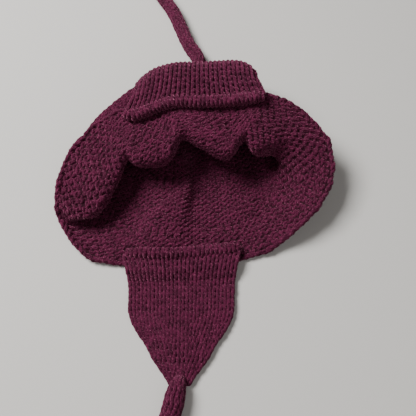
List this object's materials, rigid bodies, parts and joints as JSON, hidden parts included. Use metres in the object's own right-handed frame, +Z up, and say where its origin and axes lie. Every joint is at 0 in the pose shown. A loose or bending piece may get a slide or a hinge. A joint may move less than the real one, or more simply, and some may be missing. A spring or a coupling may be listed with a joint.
{
  "type": "knitted earflap hat",
  "caption": "Hand-knitted earflap hat lying on its side, its upper edge rolled back and its mouth open, with a flap and a knitted tie on each side.",
  "frame": {"origin": "a point of the crown's flat underside, on the table", "axes": "+Z up from the table, +Y from the hat's open mouth towards its closed end, +X to the wearer-side right of the picture"},
  "size_m": [0.2332, 0.5635, 0.0649],
  "materials": {
    "plum_wool": "thick fuzzy hand-knitted wool"
  },
  "bodies": {
    "root": {"crown": "plum_wool", "ear_flap_near": "plum_wool", "ear_flap_far": "plum_wool", "tie_near": "plum_wool", "tie_far": "plum_wool"}
  },
  "joints": []
}
